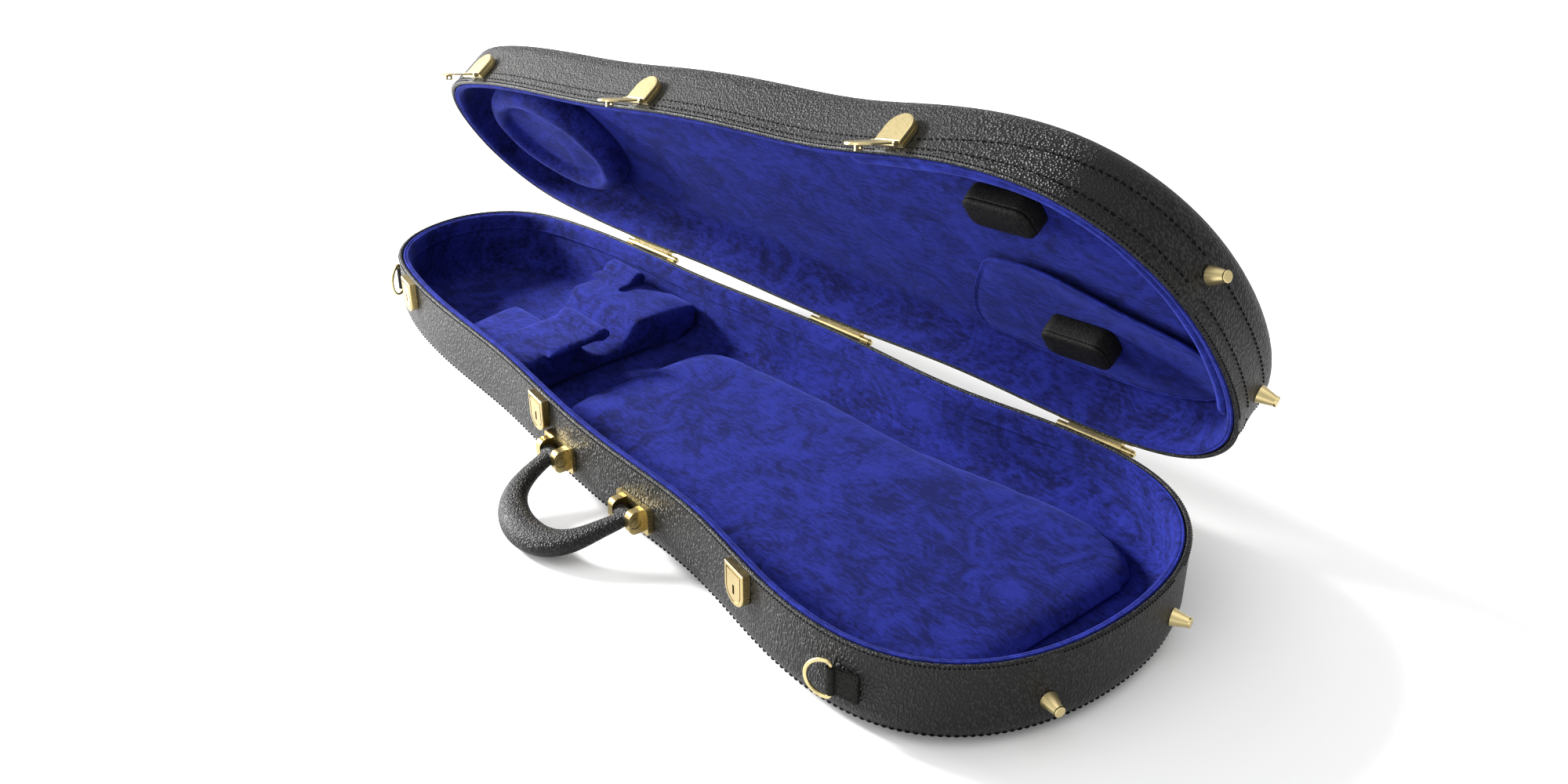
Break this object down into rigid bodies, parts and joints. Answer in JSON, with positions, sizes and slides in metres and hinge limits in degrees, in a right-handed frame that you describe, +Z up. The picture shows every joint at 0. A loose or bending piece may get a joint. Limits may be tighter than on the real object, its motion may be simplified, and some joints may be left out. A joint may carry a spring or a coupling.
{
  "type": "violin case",
  "caption": "Shaped violin case standing open: black leatherette shells, blue plush lining, brass latches and hinges, swinging leather handle and strap rings.",
  "frame": {"origin": "on the surface the case rests on, below the middle of its length and width", "axes": "+X towards the wide end, +Z up, -Y towards the latch and handle side, +Y towards the hinges"},
  "size_m": [0.7715, 0.3664, 0.3161],
  "materials": {
    "leatherette": "pebble grain, satin",
    "leather": "smooth, satin",
    "plush": "short pile, napped",
    "brass": "polished"
  },
  "bodies": {
    "base": {"base_shell": "leatherette", "base_welt": "leather", "base_lining": "plush", "body_bed": "plush", "neck_cradle": "plush", "neck_strap_front": "plush", "neck_strap_back": "plush", "hinge_narrow_base_leaf": "brass", "hinge_narrow_pin": "brass", "hinge_middle_base_leaf": "brass", "hinge_middle_pin": "brass", "hinge_wide_base_leaf": "brass", "hinge_wide_pin": "brass", "receiver_narrow": "brass", "receiver_middle": "brass", "receiver_wide": "brass", "handle_bracket_narrow": "brass", "bracket_pin_narrow": "brass", "dring_tab_narrow": "leather", "handle_bracket_wide": "brass", "bracket_pin_wide": "brass", "dring_tab_wide": "leather", "foot_base_front": "brass", "foot_base_back": "brass"},
    "lid": {"lid_shell": "leatherette", "lid_welt": "leather", "lid_lining": "plush", "lid_scroll_pad": "plush", "lid_panel": "plush", "hold_down_front": "leather", "hold_down_back": "leather", "hinge_narrow_lid_leaf": "brass", "hinge_middle_lid_leaf": "brass", "hinge_wide_lid_leaf": "brass", "latch_plate_narrow": "brass", "hasp_pin_narrow": "brass", "latch_plate_middle": "brass", "hasp_pin_middle": "brass", "latch_plate_wide": "brass", "hasp_pin_wide": "brass", "foot_lid_front": "brass", "foot_lid_back": "brass"},
    "hasp_narrow": {"hasp_narrow": "brass"},
    "hasp_middle": {"hasp_middle": "brass"},
    "hasp_wide": {"hasp_wide": "brass"},
    "dring_narrow": {"dring_narrow": "brass"},
    "dring_wide": {"dring_wide": "brass"},
    "handle": {"handle": "leather"}
  },
  "joints": [
    {"name": "lid_hinge", "type": "hinge", "parent": "base", "child": "lid", "pos_m": [0, 0.1203, 0.058], "axis": [-0.9957, -0.0931, 0], "range_deg": [-56.5, 113]},
    {"name": "hasp_narrow_swing", "type": "hinge", "parent": "lid", "child": "hasp_narrow", "pos_m": [-0.29918, -0.00611, 0.21368], "axis": [-0.9699, 0.0652, -0.2345], "range_deg": [-45, 95]},
    {"name": "hasp_middle_swing", "type": "hinge", "parent": "lid", "child": "hasp_middle", "pos_m": [-0.06776, -0.01007, 0.25219], "axis": [-0.9813, 0.034, -0.1892], "range_deg": [-45, 95]},
    {"name": "hasp_wide_swing", "type": "hinge", "parent": "lid", "child": "hasp_wide", "pos_m": [0.183, -0.01273, 0.29147], "axis": [-0.9726, 0.0587, -0.2251], "range_deg": [-45, 95]},
    {"name": "handle_swing", "type": "hinge", "parent": "base", "child": "handle", "pos_m": [0.0194, -0.12579, 0.027], "axis": [-0.9985, 0.0552, 0], "range_deg": [-70, 105]},
    {"name": "dring_narrow_swing", "type": "hinge", "parent": "base", "child": "dring_narrow", "pos_m": [-0.35401, -0.06421, 0.031], "axis": [0, 0, -1], "range_deg": [-14, 146]},
    {"name": "dring_wide_swing", "type": "hinge", "parent": "base", "child": "dring_wide", "pos_m": [0.28348, -0.14115, 0.031], "axis": [0, 0, 1], "range_deg": [-14, 146]}
  ]
}
